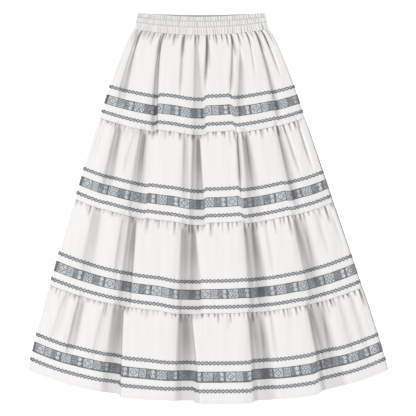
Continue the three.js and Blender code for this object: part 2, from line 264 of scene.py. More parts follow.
# %% The gathers under each seam
Gather = namedtuple("Gather", "at depth long wide")
WAIST_GATHERS = [
    Gather(-0.962, 1.8, 30, 1.6),
    Gather(-0.9, 3.0, 30, 2.0),
    Gather(-0.845, 1.8, 14, 1.7),
    Gather(-0.82, 2.0, 16, 1.6),
    Gather(-0.768, 2.6, 18, 1.7),
    Gather(-0.7, 2.8, 24, 1.8),
    Gather(-0.64, 1.6, 12, 1.6),
    Gather(-0.565, 3.4, 40, 2.0),
    Gather(-0.527, 2.4, 14, 1.6),
    Gather(-0.46, 2.4, 14, 1.7),
    Gather(-0.39, 3.2, 22, 1.8),
    Gather(-0.345, 1.8, 12, 1.6),
    Gather(-0.252, 3.4, 40, 2.2),
    Gather(-0.2, 1.8, 12, 1.5),
    Gather(-0.15, 1.6, 12, 1.7),
    Gather(-0.083, 3.0, 24, 1.8),
    Gather(-0.04, 2.6, 22, 1.8),
    Gather(0.084, 3.6, 60, 2.1),
    Gather(0.12, 1.8, 12, 1.6),
    Gather(0.185, 2.0, 16, 1.6),
    Gather(0.218, 2.8, 20, 1.7),
    Gather(0.302, 2.6, 14, 1.7),
    Gather(0.372, 2.8, 24, 1.8),
    Gather(0.445, 3.4, 40, 2.1),
    Gather(0.54, 2.8, 24, 1.8),
    Gather(0.6, 1.4, 12, 1.6),
    Gather(0.672, 2.8, 28, 1.8),
    Gather(0.74, 1.6, 14, 1.7),
    Gather(0.812, 3.0, 40, 2.0),
    Gather(0.86, 1.6, 14, 1.6),
    Gather(0.902, 3.4, 36, 2.0),
    Gather(0.972, 1.8, 30, 1.8),
]
SEAM_PITCH = 9.4  # from one gather to the next under the other three seams


def seam_gathers(tier):
    """Gathers from side to side under a tier's upper seam, uneven in place, depth, length and width."""
    if tier == 0:
        return WAIST_GATHERS
    count = round(2 * LINES[tier + 1].half / SEAM_PITCH)
    found = []
    for i in range(count):
        odd = uneven(i, tier)
        long = mix(7, 19, uneven(i, tier + 10) ** 2) + (16 if uneven(i, tier + 20) > 0.9 else 0)
        at = -1 + (i + mix(0.15, 0.85, odd)) * 2 / count
        found.append(Gather(at, mix(0.8, 3.1, uneven(i, tier + 30) ** 1.3), long, mix(1.2, 2.0, odd)))
    return found


print("gathers under each seam:", [len(seam_gathers(tier)) for tier in range(len(TIERS))])

# %% [markdown]
# ## The height of the cloth
# Now the front becomes one function: how high its outer face stands at a place. Its parts come first: how deep the
# folds lie, how far the gathers go in, and how much painted shade both get. The height then starts as a low crown that
# comes down at both sides, loses the folds and the gathers, and gains a faint unrest, because no cloth lies quite
# still. It never comes nearer to the back than the cloth's own thickness allows.

# %% How deep the folds lie
SHOULDER = 2.3  # how much wider than its flank the soft dip beside a fold is
UPRIGHT = 5.2  # a right flank narrower than this stays as upright as it is, and has no soft dip
SOFT_DIP = 0.3  # share of a fold's form that is its soft dip
DYING_WIDTH = 0.4  # width of a fold where it dies out, compared with its full width
WAIST_DEPTH = 0.55  # depth of the folds at the waist, compared with their rows
SEAM_REACH = 16  # how far from a seam the folds of the two tiers give way to each other


def trough(off, left, floor, right):
    """The form of a fold whose floor starts at 0: 1 on its floor, and 0 past its flanks."""
    core = np.where(off < 0, ease(1 + off / left), ease(1 - (off - floor) / right))
    far = np.where(right < UPRIGHT, right, SHOULDER * right)
    shoulder = np.where(off < 0, ease(1 + off / (SHOULDER * left)), ease(1 - (off - floor) / far))
    return mix(core, shoulder, SOFT_DIP)


def fold_depth(line, across, tier):
    """How far the folds of one tier lie under its crests."""
    down = line - (tier + 1)
    widen = mix(NARROW[tier], WIDE, down)
    total = 0
    for fold in FOLDS[TIERS[tier].name]:
        off = (across - mix(fold.top, fold.bottom, down)) * half_width(line)
        reach = ease((down - fold.start + FADE) / FADE)
        if fold.end < 1:
            reach = reach * ease((fold.end + FADE - down) / FADE)
        width = widen * mix(DYING_WIDTH, 1, reach)
        wall = fold.right * (np.minimum(width, 1) if fold.right < UPRIGHT else width)
        total = total + fold.depth * reach * trough(off, fold.left * width, fold.floor * width, wall)
    return total * mix(WAIST_DEPTH, 1, ease(line - 1))


def blended_depth(line, across, tier):
    """The same, but at a seam it is the mean of both tiers', so that their edges meet."""
    total = fold_depth(line, across, tier)
    for seam, other in ((tier + 1, tier - 1), (tier + 2, tier + 1)):
        if 0 <= other < len(TIERS):
            at_seam = np.full_like(line, float(seam))
            mean = (fold_depth(at_seam, across, tier) + fold_depth(at_seam, across, other)) / 2
            near = ease(1 - np.abs(line - seam) * tier_height(tier) / SEAM_REACH)
            total = mix(total, mean, near)
    return total


samples = np.linspace(-0.98, 0.98, 600)
at_ribbons = [np.full(samples.shape, tier + 1 + row.ribbon) for tier, row in enumerate(TIERS)]
print("deepest at each ribbon, mm:", [blended_depth(at, samples, i).max().round(1) for i, at in enumerate(at_ribbons)])

# %% How far the gathers stand out and go in
WAIST_PINCH = 0.75  # width of the waist's gathers, compared with their rows
PUFF = 0.3  # height of a gather's puff, compared with the depth of its crease


def gather_relief(line, across, tier):
    """The creases under a seam, and the puffs that they push up beside them."""
    down = (line - (tier + 1)) * tier_height(tier)
    total = 0
    for gather in seam_gathers(tier):
        width = gather.wide * (WAIST_PINCH if tier == 0 else 1) * (1 + down / 40)
        off = (across - gather.at) * half_width(line) / width
        fade = np.clip(1 - down / (1.35 * gather.long), 0, 1)
        crease = np.exp(-(np.where(off < 0, off, off / 1.5) ** 2))
        puff = PUFF * ease(down / 4) * np.exp(-((off + 2.4) ** 2))
        total = total + gather.depth * fade * (puff - crease)
    return total


reliefs = [gather_relief(np.full(samples.shape, tier + 1.02), samples, tier) for tier in range(len(TIERS))]
print("lowest and highest just under each seam, mm:", [(r.min().round(1), r.max().round(1)) for r in reliefs])

# %% The shade painted into the cloth's folds
DARK_FOLD = (4.7, 11.2, 13.6, 15.2, 17.2)  # depths at which a fold's painted shade is full, at the waist, the seams and the hem
DARK_GATHER = 2.3
SHADE_CURVE = 1.15
SIDE_SHADE = 0.05  # painted shade on the cloth that rolls round the side
OPEN = 0.74  # how much of a fold's painted shade is left further down, where it opens
TRIM_SHADE_LEFT = 0.5  # and from the upper braid down to the seam


def painted_fold_shade(line, across, tier):
    """How much painted shade a place gets for lying in a fold or a gather, from 0 on a crest to 1."""
    folds = (blended_depth(line, across, tier) / np.interp(line, range(1, HEM + 1), DARK_FOLD)) ** SHADE_CURVE
    pinched = np.maximum(-gather_relief(line, across, tier), 0) / DARK_GATHER
    return np.clip(folds + pinched, 0, 1)


def cloth_painted_fold_shade(line, across, tier):
    """The same for the cloth: less painted shade further down, less again from the upper braid down, and a little on
    the side's roll.
    """
    down = line - (tier + 1)
    opened = mix(1, OPEN, ease((down - 0.25) / 0.35))
    shade_left_at_trims = mix(1, TRIM_SHADE_LEFT / OPEN, ease((down - TIERS[tier].upper + 0.03) / 0.07))
    side = SIDE_SHADE * ease((np.abs(across) - 0.985) / 0.015)
    return np.clip(painted_fold_shade(line, across, tier) * opened * shade_left_at_trims + side, 0, 1)


print("darkest at each ribbon:", [cloth_painted_fold_shade(at, samples, i).max().round(2) for i, at in enumerate(at_ribbons)])

# %% The height of the front's outer face
UNREST = [(2.3, 7.1, 0.2), (-3.9, 11.3, 0.12), (5.2, 17.9, 0.08), (1.1, 29.0, 0.045)]
HEM_STITCH = 5.0  # from the hem to its row of stitches


def unrest(line, across, tier):
    return sum(
        high * np.sin(waves * across * half_width(line) / 50 + lean * line + 1.7 * tier + waves)
        for lean, waves, high in UNREST
    )


def front_height(line, across, tier):
    down = (line - (tier + 1)) * tier_height(tier)
    to_seam = (tier + 2 - line) * tier_height(tier)
    height = mix(at_line(line, "side"), at_line(line, "loft"), 1 - np.abs(across) ** 4)
    height = height - blended_depth(line, across, tier)
    height = height + gather_relief(line, across, tier) + unrest(line, across, tier)
    dip, reach = (0.75, 6) if tier else (2.6, 12)  # the cloth rises from its seam, most of all from the waistband's
    height = height - mix(dip, 0, ease(down / reach))
    height = height - 0.5 * (1 - ease(to_seam / 1.6))  # the rounded edge at the next seam
    if tier == len(TIERS) - 1:
        height = height - 0.45 * np.exp(-(((to_seam - HEM_STITCH) / 0.9) ** 2))  # the hem's row of stitches
    lowest = LOWEST + SIDE_RADIUS * ease((np.abs(across) - 0.93) / 0.05)
    return lowest + 0.5 * np.logaddexp(0, (height - lowest) / 0.5)  # never below the lowest, with a soft bend


for tier, row in enumerate(TIERS):
    middle = front_height(at_ribbons[tier], samples, tier)
    print(f"{row.name}: front stands {middle.min():.1f} to {middle.max():.1f} mm high at its ribbon")

# %% [markdown]
# ## From a height to a surface
# At each side the front rolls down to meet the back, a turn that a height alone can't give. So a column of the grid
# has a second number, `side`, which is 0 on the front and goes to 1 or -1 down the roll. The grid turns into a closed
# shell: its outer face, an inner face moved in along the normals with half as many points, and the rims between them.

# %% Points of the front
FOOT = CLOTH + GAP


def even(count):
    """A number of points that leaves an even number of steps between them."""
    return 2 * math.ceil(count / 2) + 1


def as_points(x, y, z):
    return np.stack(np.broadcast_arrays(x, y, z), axis=-1)


def rolled(line, across, side, radius, foot, height_at):
    """Where a face with rolled sides lies: across runs from shoulder to shoulder, side down each side's roll."""
    half = half_width(line)
    shoulder = across * (1 - radius / half)
    top = height_at(shoulder)
    turn = radius * np.pi / 2
    path = np.abs(side) * (turn + top - radius - foot)
    angle = np.minimum(path / radius, np.pi / 2)
    z = top - radius * (1 - np.cos(angle)) - np.maximum(path - turn, 0)
    return shoulder + np.sign(side) * radius * np.sin(angle) / half, z


def front_points(line, across, side, tier):
    u, z = rolled(line, across, side, SIDE_RADIUS, FOOT, lambda at: front_height(line, at, tier))
    x, y = in_plan(line, u)
    return as_points(x, y + slip(line, u), z)


def front_columns(width, spacing, side_steps=8):
    """across and side for the columns of a grid that is `width` wide, an odd number of them."""
    count = even(width / spacing)
    roll = np.linspace(0, 1, side_steps + 1)[1:]
    across = np.concatenate([-np.ones(side_steps), np.linspace(-1, 1, count), np.ones(side_steps)])
    side = np.concatenate([-roll[::-1], np.zeros(count), roll])
    return across[None, :], side[None, :]


# %% The normals of a grid, and lengths along it
def normals(points):
    """Unit normals of a grid whose rows go down the skirt and whose columns go from left to right."""
    along = np.gradient(points, axis=1)
    down = np.gradient(points, axis=0)
    normal = np.cross(down, along)
    return normal / np.linalg.norm(normal, axis=-1, keepdims=True)


def path_lengths(path):
    """How far along a path each of its points lies, in millimetres."""
    return np.concatenate([[0], np.cumsum(np.linalg.norm(np.diff(path, axis=0), axis=1))])


def lengths(points):
    """The same for the columns of a grid, along its middle row."""
    return path_lengths(points[len(points) // 2])


hem = front_points(np.full((1, 1), 4.98), *front_columns(2 * LINES[HEM].half, 2.0), tier=3)
print(f"the hem is {2 * LINES[HEM].half} mm wide, and {lengths(hem)[-1]:.0f} mm over its folds")

# %% [markdown]
# ## Meshes
# Each piece is made from arrays of points, so three small makers are enough: one joins an outer and an inner grid into
# a closed shell, one sweeps a small section along a path, for the braids' strands, and one drops a stitch wherever the
# needle went in. Every point also carries two marks, kept as UV layers. `cut` says how far along the cloth and how far
# down it the point was, in millimetres, before the cloth was sewn, and the weaves are drawn in those. `fold` says how
# much painted shade the point gets, mostly for lying deep in a fold.

# %% A mesh from points, faces and marks
def linked(name, data):
    thing = bpy.data.objects.new(name, data)
    bpy.context.scene.collection.objects.link(thing)
    return thing


def new_object(name, points, faces, cut, fold):
    mesh = bpy.data.meshes.new(name)
    mesh.from_pydata((np.asarray(points) * MM).tolist(), [], faces)
    corners = np.empty(len(mesh.loops), dtype=np.int32)
    mesh.loops.foreach_get("vertex_index", corners)
    # the `fold` mark is how much painted shade a point gets
    for mark, values in (("cut", cut), ("fold", np.stack([fold, fold], axis=-1))):
        layer = mesh.uv_layers.new(name=mark)
        layer.data.foreach_set("uv", np.asarray(values, dtype=np.float32)[corners].ravel())
    mesh.shade_smooth()
    return linked(name, mesh)


# %% A closed shell from two grids
def quads(rows, columns, first=0, turned=False):
    index = first + np.arange(rows * columns).reshape(rows, columns)
    a, b = index[:-1, :-1], index[:-1, 1:]
    c, d = index[1:, 1:], index[1:, :-1]
    order = (a, b, c, d) if turned else (a, d, c, b)
    return np.stack(order, axis=-1).reshape(-1, 4).tolist()


def rim(fine, coarse, turned):
    """Faces between an edge of the outer grid and the same edge of the inner one, which keeps each second point."""
    faces = []
    for i in range(len(coarse) - 1):
        face = [int(fine[2 * i + k]) for k in range(3)] + [int(coarse[i + 1]), int(coarse[i])]
        faces.append(face[::-1] if turned else face)
    return faces


def shell(name, outer, inner, fold=0.0):
    """A closed shell from its outer grid and its inner grid, which keeps each second row and column."""
    rows, columns = outer.shape[:2]
    few_rows, few_columns = inner.shape[:2]
    out = np.arange(rows * columns).reshape(rows, columns)
    ins = rows * columns + np.arange(few_rows * few_columns).reshape(few_rows, few_columns)
    faces = quads(rows, columns) + quads(few_rows, few_columns, rows * columns, turned=True)
    faces += rim(out[0], ins[0], False) + rim(out[-1], ins[-1], True)
    faces += rim(out[:, 0], ins[:, 0], True) + rim(out[:, -1], ins[:, -1], False)
    along = np.broadcast_to(lengths(outer)[None, :], (rows, columns))
    down = np.broadcast_to(path_lengths(outer[:, columns // 2])[:, None], (rows, columns))
    marks = np.stack([along, down, np.broadcast_to(fold, (rows, columns))], axis=-1)
    marks = np.concatenate([marks.reshape(-1, 3), marks[::2, ::2].reshape(-1, 3)])
    points = np.concatenate([outer.reshape(-1, 3), inner.reshape(-1, 3)])
    return new_object(name, points, faces, marks[:, :2], marks[:, 2])


def cloth_shell(name, outer, thickness, fold):
    return shell(name, outer, (outer - thickness * normals(outer))[::2, ::2], fold)


def level_shell(name, outer, level, fold=0.0, inset=0.0):
    """A closed shell from an outer grid to a level inner face, which is drawn in a little at both sides."""
    inner = outer[::2, ::2].copy()
    inner[..., 2] = level
    inner[:, 0, 0] += inset
    inner[:, -1, 0] -= inset
    return shell(name, outer, inner, fold)


print("over 5 by 5 outer points a shell has", len(quads(5, 5)), "faces, and", len(quads(3, 3)), "under them")


# %% Strands and stitches
def frames_along(path):
    along = np.gradient(path, axis=0)
    return along / np.linalg.norm(along, axis=-1, keepdims=True)


def swept(path, up, wide, high, fold, sides=6):
    """Points, faces and marks of a flattened strand along a path. up is the normal of the cloth beneath it."""
    along = frames_along(path)
    across = np.cross(along, up)
    across /= np.linalg.norm(across, axis=-1, keepdims=True)
    angle = np.arange(sides) / sides * 2 * np.pi
    ring = across[:, None] * (wide / 2 * np.cos(angle))[:, None] + up[:, None] * (high / 2 * np.sin(angle))[:, None]
    points = (path[:, None] + ring).reshape(-1, 3)
    index = np.arange(len(points)).reshape(-1, sides)
    turned = np.roll(index, -1, axis=1)
    faces = np.stack([index[:-1], turned[:-1], turned[1:], index[1:]], axis=-1).reshape(-1, 4).tolist()
    return points, faces + [index[0, ::-1].tolist(), index[-1].tolist()], np.repeat(fold, sides)


def stitches(centres, along, up, fold, long, wide, high):
    """Points, faces and marks of one grain-shaped stitch at each centre."""
    across = np.cross(along, up)
    corners = [(1, 0, 0), (0, 1, 0), (0, 0, 1), (0, -1, 0), (0, 0, -1), (-1, 0, 0)]
    points = np.stack(
        [centres + a * along * long / 2 + b * across * wide / 2 + c * up * high / 2 for a, b, c in corners], axis=1
    )
    one = [(0, 1, 2), (0, 2, 3), (0, 3, 4), (0, 4, 1), (5, 2, 1), (5, 3, 2), (5, 4, 3), (5, 1, 4)]
    faces = [[6 * i + k for k in face] for i in range(len(centres)) for face in one]
    return points.reshape(-1, 3), faces, np.repeat(fold, len(corners))


def joined(name, parts):
    """One object from several lots of points, faces and marks."""
    faces, first = [], 0
    for some_points, some_faces, _ in parts:
        faces += [[first + k for k in face] for face in some_faces]
        first += len(some_points)
    points = np.concatenate([part[0] for part in parts])
    return new_object(name, points, faces, points[:, :2], np.concatenate([part[2] for part in parts]))


straight = np.linspace((0, 0, 0), (10, 0, 0), 6)
trial = swept(straight, np.full(straight.shape, (0, 0, 1)), 2, 1, np.zeros(6))
print("a strand through 6 points:", len(trial[0]), "corners and", len(trial[1]), "faces")

# %% [markdown]
# ## Shader maths in plain expressions
# A weave is arithmetic on places: stripes, steps and distances. Written as nodes that takes a screen for one line, so
# a small class wraps a socket, and `+`, `*`, `<` and the others add the Math node that they mean. Every other kind of
# node comes from one method, which takes its settings first and then what goes into its sockets.

# %% A socket that can be calculated with
def operator(operation, swapped=False):
    """A method that adds the Math node an operator means, with its two sides swapped for a reflected form."""

    def method(self, *others):
        sides = (self, *others)[:: -1 if swapped else 1]
        return self.paint.node("ShaderNodeMath", {"operation": operation}, dict(enumerate(sides)))

    return method


class Value:
    """A socket that gives one number at each place."""

    def __init__(self, paint, socket):
        self.paint = paint
        self.socket = socket

    __add__ = __radd__ = operator("ADD")
    __mul__ = __rmul__ = operator("MULTIPLY")
    __sub__ = operator("SUBTRACT")
    __rsub__ = operator("SUBTRACT", swapped=True)
    __truediv__ = operator("DIVIDE")
    __rtruediv__ = operator("DIVIDE", swapped=True)
    __lt__ = operator("LESS_THAN")
    __gt__ = operator("GREATER_THAN")
    __abs__ = operator("ABSOLUTE")
    sine = operator("SINE")
    fraction = operator("FRACT")
    least = operator("MINIMUM")
    most = operator("MAXIMUM")

    def repeat(self, length):
        """Where in its repeat a place is, from 0 to 1."""
        return (self / length).fraction()

    def tent(self, length):
        """1 at the middle of each repeat and 0 between two."""
        return 1 - abs(self.repeat(length) * 2 - 1)


single = [name for name, member in vars(Value).items() if getattr(member, "__name__", "") == "method"]
print("one Math node each:", *single)


# %% A material that makes nodes
class Paint:
    """A material with one Principled shader, and one way to add a node."""

    def __init__(self, name, **settings):
        self.material = bpy.data.materials.new(name)
        self.material.use_nodes = True
        self.tree = self.material.node_tree
        self.shader = self.tree.nodes["Principled BSDF"]
        for socket, value in settings.items():
            self.shader.inputs[socket.replace("_", " ")].default_value = value

    def node(self, kind, settings=None, inputs=None, output=0):
        node = self.tree.nodes.new(kind)
        for name, value in (settings or {}).items():
            if name == "stops":
                self.set_stops(node.color_ramp, value)
            else:
                setattr(node, name, value)
        for name, value in (inputs or {}).items():
            if isinstance(value, Value):
                self.tree.links.new(value.socket, node.inputs[name])
            else:
                node.inputs[name].default_value = value
        return Value(self, node.outputs[output])

    @staticmethod
    def set_stops(ramp, stops):
        """Hard stops, so that each colour holds up to the next."""
        ramp.interpolation = "CONSTANT"
        while len(ramp.elements) < len(stops):
            ramp.elements.new(1.0)
        for element, (place, colour) in zip(ramp.elements, stops):
            element.position = place
            element.color = (*colour, 1.0)

    def feed(self, socket, value):
        self.tree.links.new(value.socket, self.shader.inputs[socket])

    def blend(self, first, second, factor):
        """A colour that goes from the first to the second with the factor."""
        ends = [end if isinstance(end, Value) else (*end, 1.0) for end in (first, second)]
        return self.node("ShaderNodeMix", {"data_type": "RGBA"}, {0: factor, 6: ends[0], 7: ends[1]}, output=2)

    def mark(self, name):
        """The two numbers that a mesh's points carry under a name."""
        place = self.node("ShaderNodeUVMap", {"uv_map": name})
        parts = self.node("ShaderNodeSeparateXYZ", {}, {0: place}).socket.node
        return Value(self, parts.outputs[0]), Value(self, parts.outputs[1])

    def painted_fold_shade(self, colour, shade, strength=1.0):
        """The colour, going to a painted shade colour as far as the `fold` mark says."""
        fold, _ = self.mark("fold")
        return self.blend(colour, shade, (fold * strength).least(1.0))

    def noise(self, scale, detail, stretch=(1, 1, 1)):
        """Noise in the object's own frame, in metres."""
        place = self.node("ShaderNodeTexCoord", output=3)
        mapped = self.node("ShaderNodeMapping", {"vector_type": "POINT"}, {0: place, 3: stretch})
        return self.node("ShaderNodeTexNoise", {}, {"Vector": mapped, "Scale": scale, "Detail": detail})

    def bump(self, height, strength, distance, under=None):
        inputs = {"Height": height, "Strength": strength, "Distance": distance}
        if under is not None:
            inputs["Normal"] = under
        return self.node("ShaderNodeBump", {}, inputs)


# %% [markdown]
# ## Cotton
# The tiers are a light plain-weave cotton: matt, warm white, slightly crumpled. Three scales make it read as cloth.
# The threads are about half a millimetre apart and only raise a faint grain. Slubs, the thicker stretches of a thread,
# make short streaks. Crinkles a centimetre long catch the light, longer down the cloth than across it.
#
# Under a light this soft a shallow fold would hardly show, so shade is painted into the colour there. The painted shade
# colour comes in with the `fold` mark, which belongs to the cloth and turns with it.

# %% The cotton of the tiers and the waistband
COTTON_LIGHT = (0.8, 0.79, 0.775)
COTTON_DARK = (0.755, 0.745, 0.725)
COTTON_PAINTED_SHADE = (0.225, 0.223, 0.219)
THREAD_PITCH = 0.55


def cotton(name, crinkle):
    paint = Paint(name, Roughness=0.92, Sheen_Weight=0.18, Sheen_Roughness=0.5)
    along, down = paint.mark("cut")
    turns = 2 * math.pi / THREAD_PITCH
    weave = (along * turns).sine() * (down * turns).sine()
    slubs = paint.noise(900.0, 2.0, stretch=(1, 0.12, 1))
    crinkles = paint.noise(95.0, 4.0, stretch=(1, 0.45, 1))
    cloudy = paint.noise(9.0, 2.0)
    colour = paint.blend(COTTON_DARK, COTTON_LIGHT, (cloudy * 0.7 + slubs * 0.5 + 0.1).least(1.0))
    # painted shade in the folds and gathers, from the fold mark
    paint.feed("Base Color", paint.painted_fold_shade(colour, COTTON_PAINTED_SHADE))
    folded = paint.bump(crinkles, crinkle, 0.0016)
    streaked = paint.bump(slubs, 0.25, 0.0003, folded)
    paint.feed("Normal", paint.bump(weave, 0.22, 0.00015, streaked))
    return paint.material


COTTON = cotton("off-white cotton", 0.2)
CASING_COTTON = cotton("shirred cotton", 0.3)
print("cotton:", len(COTTON.node_tree.nodes), "nodes")

# %% [markdown]
# ## The jacquard ribbon
# A jacquard loom lifts each warp thread on its own, so a ribbon can carry small figures. This one has a plain folk
# order of blocks, charted here: chains of diamonds between dark bars, a medallion, a fret, a lattice, and
# fields of seeds. A ramp with hard stops gives each block its ground, and a few lines of arithmetic draw its figure.

# %% The ribbon's colours and figures
INK = (0.075, 0.085, 0.095)
SLATE = (0.12, 0.133, 0.147)
DUSK = (0.15, 0.168, 0.185)
BLUE_GREY = (0.27, 0.3, 0.325)
MIST = (0.46, 0.495, 0.525)
PALE = (0.7, 0.73, 0.75)

MIDDLE = RIBBON_WIDTH / 2
MARGIN = 2.2  # left free of figures along each edge
SELVEDGE = 1.6
WARP_PITCH = 0.8
WEFT_PITCH = 0.6


def within(value, low, high):
    return (value > low) * (value < high)


def diamonds(x, y):
    """Hollow diamonds, two of them across the ribbon."""
    size = abs(x) / 4.2 + abs(y.repeat(MIDDLE) - 0.5) * 2.1
    return within(size, 0.4, 1.0) + (size < 0.2), 0.0


def medallion(x, y):
    """A diamond in a diamond, with rays in its corners."""
    size = abs(x) / 9.5 + abs(y - MIDDLE) / 8.0
    rays = ((abs(x) + abs(y - MIDDLE)).tent(3.0) > 0.55) * (size > 1.05)
    return within(size, 0.3, 0.62) * 0.8 + rays * 0.7, (size < 0.16) + within(size, 0.7, 0.95) * 0.8


def fret(x, y):
    """Squares in squares."""
    box = (abs(x) / 6.5).most(abs(y - MIDDLE) / 8.5)
    ring = box.repeat(0.4) > 0.55
    tooth = (x.tent(2.6) * y.tent(2.6) > 0.4) * 0.4
    return (1 - ring) * (0.3 + tooth), ring * 0.7


def lattice(x, y):
    """Crossed lines with a light diamond in each opening."""
    crossing = abs((x + 10.5).tent(7.0) - y.tent(MIDDLE - 2))
    return (crossing > 0.55) * 0.75, (crossing < 0.18) * 0.75


def seeds(x, y):
    """Small light grains on a dark field."""
    return (x.tent(3.4) * (y + x * 0.5).tent(3.1) > 0.45) * 0.5, 0.0


def bar(x, y):
    return (abs(x) < 0.5) * (y.tent(2.4) > 0.5) * 0.4, 0.0


# %% The order of its blocks
Block = namedtuple("Block", "figure start ground")
REPEAT = 112.0  # length of the ribbon's pattern
BLOCKS = [
    Block(diamonds, 0, BLUE_GREY),
    Block(bar, 9, INK),
    Block(medallion, 13, MIST),
    Block(bar, 34, SLATE),
    Block(fret, 36.5, MIST),
    Block(seeds, 49.5, DUSK),
    Block(diamonds, 61.5, BLUE_GREY),
    Block(bar, 70.5, INK),
    Block(lattice, 74.5, MIST),
    Block(bar, 95.5, SLATE),
    Block(seeds, 98, DUSK),
]
print("ribbon:", len(BLOCKS), "blocks in", REPEAT, "mm")


# %% The figures on their grounds, and the weave over them
def ribbon_figures(along, down):
    """Light figures and dark figures of all the blocks, as two masks."""
    inside = within(down, MARGIN, RIBBON_WIDTH - MARGIN)
    ends = [block.start for block in BLOCKS[1:]] + [REPEAT]
    light, dark = 0.0, 0.0
    for block, end in zip(BLOCKS, ends):
        some_light, some_dark = block.figure(along - (block.start + end) / 2, down)
        inside_block = within(along, block.start, end)
        light = inside_block * some_light + light
        dark = inside_block * some_dark + dark
    return (light * inside).least(1.0), (dark * inside).least(1.0)


def jacquard():
    paint = Paint("jacquard ribbon", Roughness=0.6, Sheen_Weight=0.1)
    along, down = paint.mark("cut")
    in_repeat = along.repeat(REPEAT) * REPEAT
    stops = [(block.start / REPEAT, block.ground) for block in BLOCKS]
    ground = paint.node("ShaderNodeValToRGB", {"stops": stops}, {0: in_repeat / REPEAT})
    light, dark = ribbon_figures(in_repeat, down)
    warp = along.tent(WARP_PITCH)
    weft = down.tent(WEFT_PITCH)
    speckle = paint.noise(2600.0, 1.0)
    rubbed = (paint.noise(380.0, 2.0) - 0.5) * 2.1
    colour = paint.blend(ground, PALE, light)
    colour = paint.blend(colour, INK, dark)
    colour = paint.blend(colour, SLATE, (abs(down - MIDDLE) > MIDDLE - SELVEDGE) * 0.85)
    colour = paint.blend(colour, INK, (speckle * 0.4 + warp * 0.12 + weft * 0.08 + rubbed - 0.2).most(0.0).least(0.6))
    colour = paint.blend(colour, PALE, (0.0 - rubbed).most(0.0).least(0.4))
    # painted shade in the folds, going toward ink
    paint.feed("Base Color", paint.painted_fold_shade(colour, INK, 1.15))
    raised = paint.bump(light - dark * 0.6, 0.5, 0.0003)
    paint.feed("Normal", paint.bump(warp * 0.5 + weft, 0.45, 0.00025, raised))
    paint.feed("Roughness", 0.72 - light * 0.16)
    return paint.material


RIBBON = jacquard()
print("ribbon:", len(RIBBON.node_tree.nodes), "nodes")

# %% [markdown]
# ## Braid and thread
# The braids are two strands of soft yarn that cross in a zigzag and leave small diamonds open between them. Yarn is a
# bundle of fibres, so its colour and its relief break up into short streaks. The sewing thread has the same make, in
# the cotton's own white.

# %% The yarn of the braids and the sewing thread
def yarn(name, dark, light):
    paint = Paint(name, Roughness=0.75, Sheen_Weight=0.15)
    fibres = paint.noise(1500.0, 2.0, stretch=(1, 0.5, 1))
    clouds = paint.noise(160.0, 1.0)
    colour = paint.blend(dark, light, (fibres * 0.9 + clouds * 0.5 - 0.2).least(1.0).most(0.0))
    # painted shade in the folds, going to half the yarn's dark colour
    paint.feed("Base Color", paint.painted_fold_shade(colour, tuple(part / 2 for part in dark)))
    paint.feed("Normal", paint.bump(fibres, 0.6, 0.0004))
    return paint.material


YARN_DARK = yarn("slate yarn", (0.115, 0.128, 0.14), (0.24, 0.264, 0.282))
YARN_LIGHT = yarn("mist yarn", (0.17, 0.186, 0.2), (0.33, 0.357, 0.377))
YARN_CORE = yarn("pale yarn", (0.42, 0.45, 0.475), (0.6, 0.63, 0.65))
THREAD = yarn("white sewing thread", (0.62, 0.61, 0.59), (0.8, 0.79, 0.77))
print("yarn and thread:", len(THREAD.node_tree.nodes), "nodes each")

# %% [markdown]
# ## Dressing the solids
# Every piece rides on the model's one body, takes the materials it is given, and hides the plain solid that it stands
# for. A sheet also says how large it was cut before it was gathered and sewn.

# %% How a piece takes its place
def dress(piece, materials, node=None):
    for material in materials:
        piece.data.materials.append(material)
    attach(piece, "root")
    if node is not None:
        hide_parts(node)
    return piece


# %% The rows of a tier
def line_rows(first, last, count):
    return np.linspace(first, last, count)[:, None]


ROOM = [0.8, 1.2, 1.8, 2.4, 3.4, 3, 1, 0.8]  # between two rows of a tier, from its upper seam to its lower


def tier_rows(tier, coarse):
    """The lines of a tier's rows, close together at its seams and gathers, and further apart between."""
    first, last = seam_ends(tier)
    height = tier_height(tier)
    down = np.linspace(0, height, 4000)
    room = np.interp(down, [0, 5, 12, 45, 70, height - 9, height - 3, height], ROOM)
    count = np.concatenate([[0], np.cumsum(np.diff(down) / room[1:])]) / coarse
    rows = even(count[-1])
    return mix(first, last, np.interp(np.linspace(0, count[-1], rows), count, down)[:, None] / height)


def seam_ends(tier):
    """The lines of a tier's two edges, half a gap away from its seams."""
    share = GAP / 2 / tier_height(tier)
    return tier + 1 + share, tier + 2 - (share if tier + 2 < HEM else 0)


SPACING = 1.25  # of the front's columns
WALL = 0.8  # of the cloth's shell, inside the solid's wall
print("rows of each tier:", [len(tier_rows(tier, SPACING / 1.25)) for tier in range(len(TIERS))])

# %% [markdown]
# ## The tiers' fronts
# This is the cloth that shows. The grid is fine enough to give a gather three millimetres wide a floor and two flanks.

# %% Four gathered fronts
def cut_width(piece, grid):
    """How wide a cloth was cut, along the middle row of a grid."""
    width = lengths(grid)[-1]
    print(f"{piece.name}: {len(piece.data.polygons)} faces, cut {width:.0f} mm wide")
    return width


tier_fronts = []
for tier, row in enumerate(TIERS):
    across, side = front_columns(2 * half_width(seam_ends(tier)[1]), SPACING)
    lines = tier_rows(tier, SPACING / 1.25)
    points = front_points(lines, across, side, tier)
    cloth = cloth_shell(f"{row.name}_front_cloth", points, WALL, cloth_painted_fold_shade(lines, across + 0 * lines, tier))
    dress(cloth, [COTTON], f"{row.name}_front")
    tier_fronts.append((cloth, cut_width(cloth, points[-3:])))

# %% [markdown]
# ## Ribbons and braids on the front
# A trim is sewn to the cloth before the tier is gathered, so it goes wherever the cloth goes: over the crests, down
# into the folds and round the side. Each one starts as a narrow strip of the same surface, lifted by its own
# thickness. The ribbon is that strip. The braid's strands swing from edge to edge of it, and where they meet, one
# rises over the other. A flat pale strand lies under them and shows in the openings.

